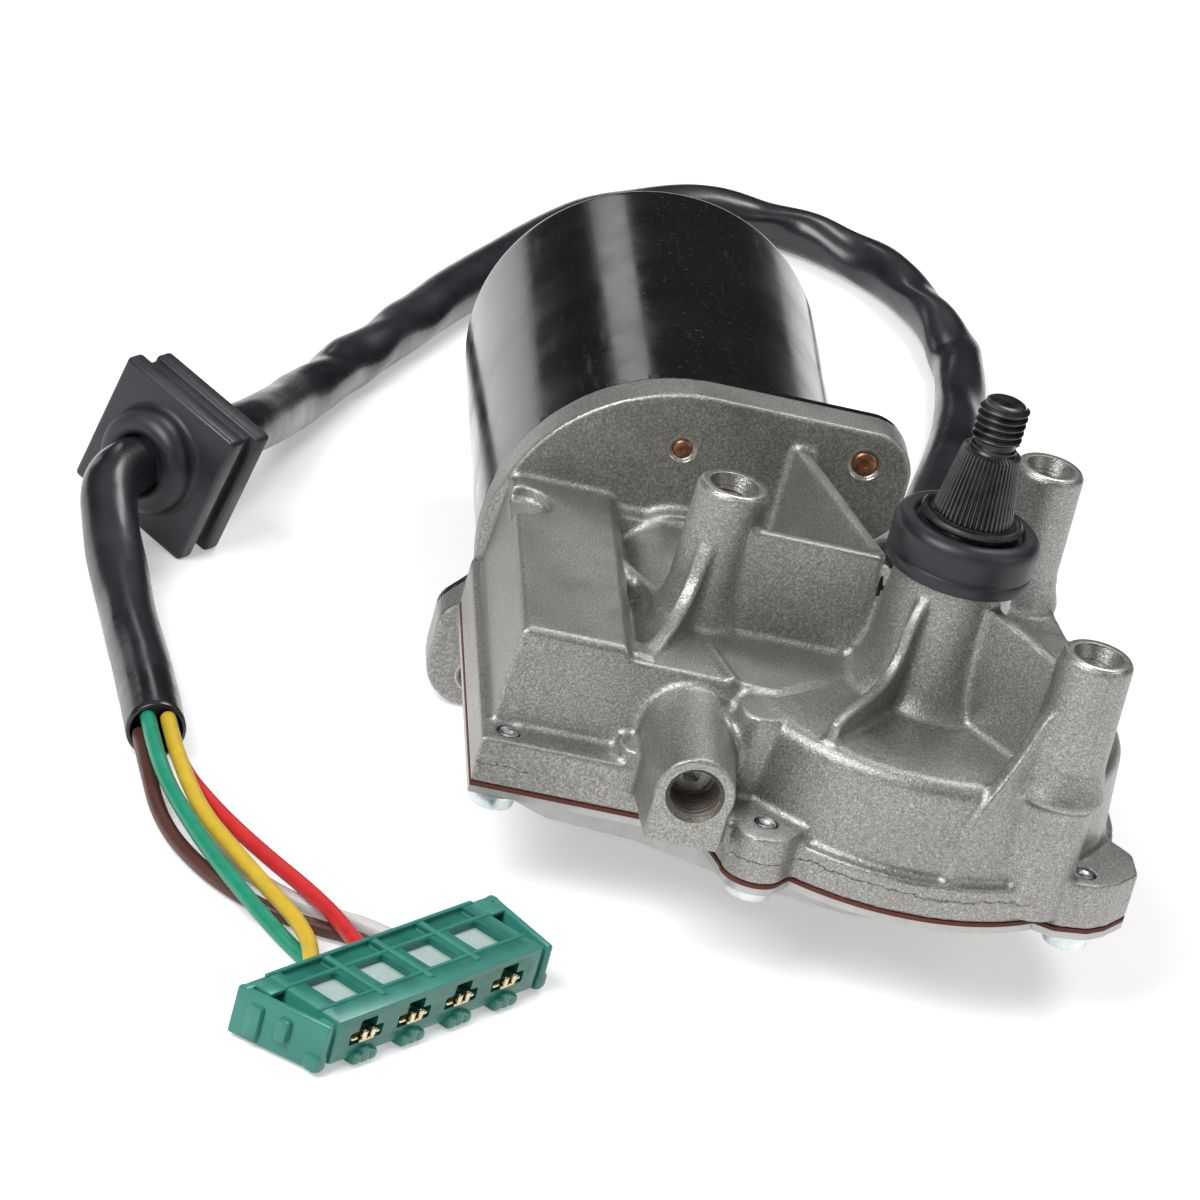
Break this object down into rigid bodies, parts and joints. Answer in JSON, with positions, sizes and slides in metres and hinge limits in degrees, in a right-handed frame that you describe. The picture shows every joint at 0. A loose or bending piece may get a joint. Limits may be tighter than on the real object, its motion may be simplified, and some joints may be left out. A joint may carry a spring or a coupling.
{
  "type": "wiper motor",
  "caption": "Geared windscreen wiper motor: cast worm-gear housing on tapped posts, black motor can, threaded output shaft, sleeved cable with grommet and plug.",
  "frame": {"origin": "Middle of the underside of the motor's bounding box, without the cable", "axes": "+Z along the output shaft towards its threaded end, +Y along the motor can away from the gear housing, +X towards the output shaft from the can"},
  "size_m": [0.2165, 0.4648, 0.1135],
  "materials": {
    "cast_aluminium": "as-cast grain",
    "gasket": "reddish-brown fibre",
    "cover_steel": "pressed sheet",
    "zinc_steel": "bright zinc plate",
    "can_paint": "gloss black enamel on drawn steel",
    "ferrite": "ferrite magnet",
    "shaft_steel": "ground steel",
    "core_steel": "laminated steel",
    "copper": "enamelled copper",
    "bronze": "sintered bronze",
    "phenolic": "moulded phenolic",
    "carbon": "carbon brush",
    "copper_screw": "copper-washed steel",
    "wheel_nylon": "moulded nylon",
    "black_oxide": "black oxide steel",
    "black_rubber": "matt moulded rubber",
    "pvc_black": "glossy black sleeve",
    "green_plastic": "translucent green nylon",
    "terminal_brass": "tinned brass",
    "wire_yellow": "PVC insulation",
    "wire_green": "PVC insulation",
    "wire_brown": "PVC insulation",
    "wire_white": "PVC insulation",
    "wire_red": "PVC insulation"
  },
  "bodies": {
    "housing": {"gear_housing": "cast_aluminium", "cover_gasket": "gasket", "bottom_cover": "cover_steel", "cover_screws": "zinc_steel", "motor_can": "can_paint", "field_magnets": "ferrite", "front_bearing": "bronze", "middle_bearing": "bronze", "rear_bearing": "bronze", "thrust_screw": "shaft_steel", "thrust_ball": "shaft_steel", "brush_plate": "phenolic", "brushes": "carbon", "brush_springs": "shaft_steel", "motor_screws": "copper_screw", "brush_plate_screws": "copper_screw", "upper_shaft_bush": "bronze", "lower_shaft_bush": "bronze", "thrust_washer": "bronze", "rubber_cap": "black_rubber", "park_contacts": "phenolic", "cable_gland": "black_rubber", "cable_sleeve_rear": "pvc_black", "cable_sleeve_front": "pvc_black", "grommet": "black_rubber", "connector_housing": "green_plastic", "connector_terminals": "terminal_brass", "wire_yellow": "wire_yellow", "wire_green": "wire_green", "wire_brown": "wire_brown", "wire_white": "wire_white", "wire_red": "wire_red"},
    "armature": {"armature_shaft": "shaft_steel", "armature_core": "core_steel", "armature_windings": "copper", "commutator": "copper"},
    "output": {"output_shaft": "black_oxide", "worm_wheel": "wheel_nylon", "shaft_collar": "black_oxide"}
  },
  "joints": [
    {"name": "armature_spin", "type": "hinge", "parent": "housing", "child": "armature", "pos_m": [-0.02459, -0.063, 0.0392], "axis": [0, 1, 0], "continuous": true},
    {"name": "output_spin", "type": "hinge", "parent": "housing", "child": "output", "pos_m": [0.02091, -0.063, 0.0392], "axis": [0, 0, 1], "continuous": true}
  ],
  "couplings": [
    {"joint": "output_spin", "follows": "armature_spin", "ratio": 0.02}
  ]
}
